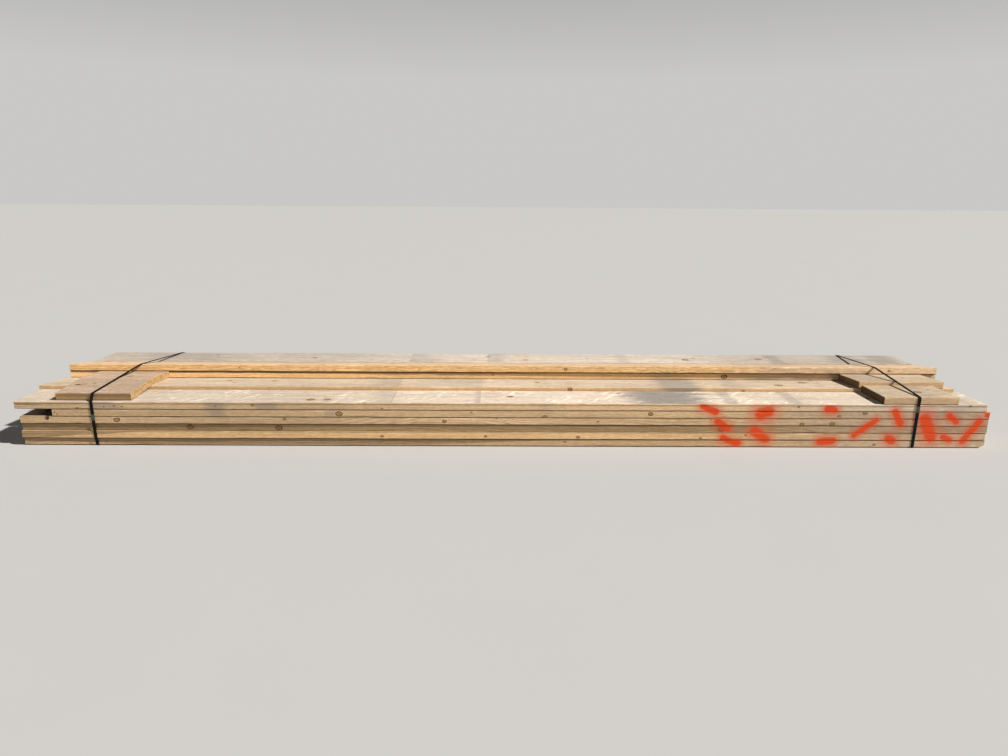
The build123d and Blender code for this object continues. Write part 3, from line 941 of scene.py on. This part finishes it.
def chipped_corner(along, across, height, length):
    """Raises what lies below a slope at the right end's lower corner, 30 mm long and 13 mm high."""
    chip_length, chip_height, highest = 30.0, 13.0, 14.0
    floor = chip_height * (1 - (length - along) / chip_length)
    ragged = 1.2 * np.sin(across / 7.0) + 0.8 * np.sin(across / 2.9)
    return along, across, np.maximum(height, np.minimum(floor + ragged, highest))


def torn_notch(along, across, height, length):
    """Takes a sliver from the upper front edge, deepest by the end of the short board above."""
    middle, deepest, left_run, right_run = 134.0, 15.0, 9.0, 6.0
    share = np.minimum((along - middle + left_run) / left_run, (middle + right_run - along) / right_run)
    over = np.maximum(0, deepest * np.clip(share, 0, 1) - across - (THICKNESS - height)) / 2
    return along, across + over, height - over


# Splits: the end (0 left, 1 right), height, slope, length, width and depth in mm; then splits of the upper
# face, further stations, and a function for what is broken off
BOARD_DAMAGE = {
    "front_row_board_6": (
        [(0, 9, 0.03, 95, 1.8, 14), (0, 24, -0.02, 300, 4.6, 26), (0, 32, -0.005, 120, 1.8, 10)],
        [(0, 30, 0.04, 170, 1.8, 10), (0, 62, 0.05, 200, 2.8, 14), (0, 110, -0.04, 160, 2.0, 12)],
        (),
        None,
    ),
    "front_row_board_5": ([(1, 17, 0.02, 60, 1.6, 9)], [], (), None),
    "front_row_board_4": ([], [], (125, 128, 131, 134, 136.5, 140), torn_notch),
    "front_row_board_2": ([(0, 22, 0.01, 90, 1.2, 9)], [], (), None),
    "front_row_board_1": ([], [], (), chipped_corner),
}


class LUMBER_OT_front_row(bpy.types.Operator):
    """Build the boards of the front row"""

    bl_idname = "lumber.front_row"
    bl_label = "Front row"

    def execute(self, context):
        build_row(context.scene.lumber, "front_row")
        return {"FINISHED"}


class LUMBER_OT_second_row(bpy.types.Operator):
    """Build the boards of the second row"""

    bl_idname = "lumber.second_row"
    bl_label = "Second row"

    def execute(self, context):
        build_row(context.scene.lumber, "second_row")
        return {"FINISHED"}


class LUMBER_OT_third_row(bpy.types.Operator):
    """Build the boards of the third row"""

    bl_idname = "lumber.third_row"
    bl_label = "Third row"

    def execute(self, context):
        build_row(context.scene.lumber, "third_row")
        return {"FINISHED"}


class LUMBER_OT_back_row(bpy.types.Operator):
    """Build the boards of the back row"""

    bl_idname = "lumber.back_row"
    bl_label = "Back row"

    def execute(self, context):
        build_row(context.scene.lumber, "back_row")
        return {"FINISHED"}


class LUMBER_OT_offcuts(bpy.types.Operator):
    """Build the four offcuts on top of the stack"""

    bl_idname = "lumber.offcuts"
    bl_label = "Offcuts"

    def execute(self, context):
        for node in OFFCUTS:
            build_board(context.scene.lumber, node, f"{node}_plank")
        return {"FINISHED"}


class LUMBER_OT_straps(bpy.types.Operator):
    """Finish the straps and their crimped seals"""

    bl_idname = "lumber.straps"
    bl_label = "Straps and seals"

    def execute(self, context):
        band = strap_finish(context.scene.lumber)
        steel = seal_finish(context.scene.lumber)
        for side, shifts in (("left", (-9.0, 4.0, 18.0)), ("right", (-10.0, -12.0, 0.0))):
            slanted(f"{side}_strap", f"{side}_strap_band", shifts, band)
            slanted(f"{side}_seal", f"{side}_seal_crimp", shifts, steel)
        return {"FINISHED"}


class LUMBER_OT_stage(bpy.types.Operator):
    """Lay the floor, and set the lights and the camera"""

    bl_idname = "lumber.stage"
    bl_label = "Stage"

    def execute(self, context):
        lay_floor(context.scene.lumber)
        set_lights(context.scene.lumber)
        set_camera(context.scene)
        context.scene.view_settings.view_transform = "Standard"
        return {"FINISHED"}


def build_row(settings, row):
    """All the boards of one row."""
    for number in range(1, ROWS[row] + 1):
        build_board(settings, f"{row}_board_{number}", f"{row}_plank_{number}")


def lay_floor(settings):
    """A wide flat floor just under the stack, in a faintly mottled pale finish."""
    half, gap = 60.0, 0.0005
    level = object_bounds()[0].z - gap
    corners = [(x * half, y * half, level) for x, y in ((-1, -1), (1, -1), (1, 1), (-1, 1))]
    mesh = bpy.data.meshes.new("floor")
    mesh.from_pydata(corners, [], [(0, 1, 2, 3)])
    floor = bpy.data.objects.new("floor", mesh)
    bpy.context.scene.collection.objects.link(floor)
    floor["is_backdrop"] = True
    tree = Tree(bpy.data.materials.new("floor_finish"))
    place = tree.add("ShaderNodeTexCoord", output="Object")
    mottle = tree.noise(place, (0.5, 0.5, 0.5), 1.0, 4.0)
    colour = tree.mix(mottle * 0.12, rgba(settings.floor), rgba(settings.floor, (0.8, 0.8, 0.8)))
    mesh.materials.append(tree.finish(colour, 0.85 + mottle * 0.1, mottle, 0.0004, specular=0.2))


def set_lights(settings):
    """A key light from the right, high and a little in front, and light from all round, darker overhead."""
    key = bpy.data.lights.new("key", "SUN")
    key.energy = settings.key_light
    key.angle = radians(2.5)
    key.color = (1.0, 0.978, 0.94)
    lamp = bpy.data.objects.new("key", key)
    lamp.rotation_euler = Vector((1.1, -0.295, 1.0)).to_track_quat("Z", "Y").to_euler()
    bpy.context.scene.collection.objects.link(lamp)
    studio = Tree(bpy.data.worlds.new("studio"))
    height = studio.parts(studio.add("ShaderNodeTexCoord", output="Generated"))[2]
    rise = studio.add("ShaderNodeMapRange", values={"Value": height, "From Min": 0.14, "From Max": 0.55})
    values = {"Color": studio.mix(rise, HORIZON, OVERHEAD), "Strength": settings.fill_light}
    background = studio.add("ShaderNodeBackground", values=values)
    studio.add("ShaderNodeOutputWorld", values={"Surface": background})
    bpy.context.scene.world = studio.owner


def set_camera(scene):
    """A camera in front of the stack's middle, looking a little down and to the right."""
    heading, pitch, roll = radians(0.73), radians(14.67), radians(-0.416)
    forward = Vector((sin(heading) * cos(pitch), cos(heading) * cos(pitch), -sin(pitch)))
    level = Vector((cos(heading), -sin(heading), 0))
    down = forward.cross(level)
    right = cos(roll) * level + sin(roll) * down
    down = forward.cross(right)
    data = bpy.data.cameras.new("camera")
    data.sensor_width = 36.0
    data.lens = 25.32
    data.clip_start = 0.05
    data.clip_end = 200.0
    camera = bpy.data.objects.new("camera", data)
    camera.location = (-0.047, -3.874, 1.251)
    camera.rotation_euler = Matrix([right, -down, -forward]).transposed().to_euler()
    scene.collection.objects.link(camera)
    scene.camera = camera


class LUMBER_PT_panel(bpy.types.Panel):
    """The stack's operators and settings"""

    bl_idname = "LUMBER_PT_panel"
    bl_label = "Stack of lumber"
    bl_space_type = "VIEW_3D"
    bl_region_type = "UI"
    bl_category = "Lumber"

    def draw(self, context):
        settings = context.scene.lumber
        for key in settings.__annotations__:
            self.layout.prop(settings, key)
        for operator in OPERATORS:
            self.layout.operator(operator.bl_idname)


OPERATORS = (
    LUMBER_OT_front_row, LUMBER_OT_second_row, LUMBER_OT_third_row, LUMBER_OT_back_row, LUMBER_OT_offcuts,
    LUMBER_OT_straps, LUMBER_OT_stage,
)


def register():
    for kind in (StackSettings, *OPERATORS, LUMBER_PT_panel):
        bpy.utils.register_class(kind)
    bpy.types.Scene.lumber = PointerProperty(type=StackSettings)


def unregister():
    del bpy.types.Scene.lumber
    for kind in (LUMBER_PT_panel, *reversed(OPERATORS), StackSettings):
        bpy.utils.unregister_class(kind)


def main():
    """Builds everything."""
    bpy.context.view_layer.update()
    register()
    bpy.ops.lumber.front_row()
    bpy.ops.lumber.second_row()
    bpy.ops.lumber.third_row()
    bpy.ops.lumber.back_row()
    bpy.ops.lumber.offcuts()
    bpy.ops.lumber.straps()
    bpy.ops.lumber.stage()


if __name__ == "__main__":
    main()
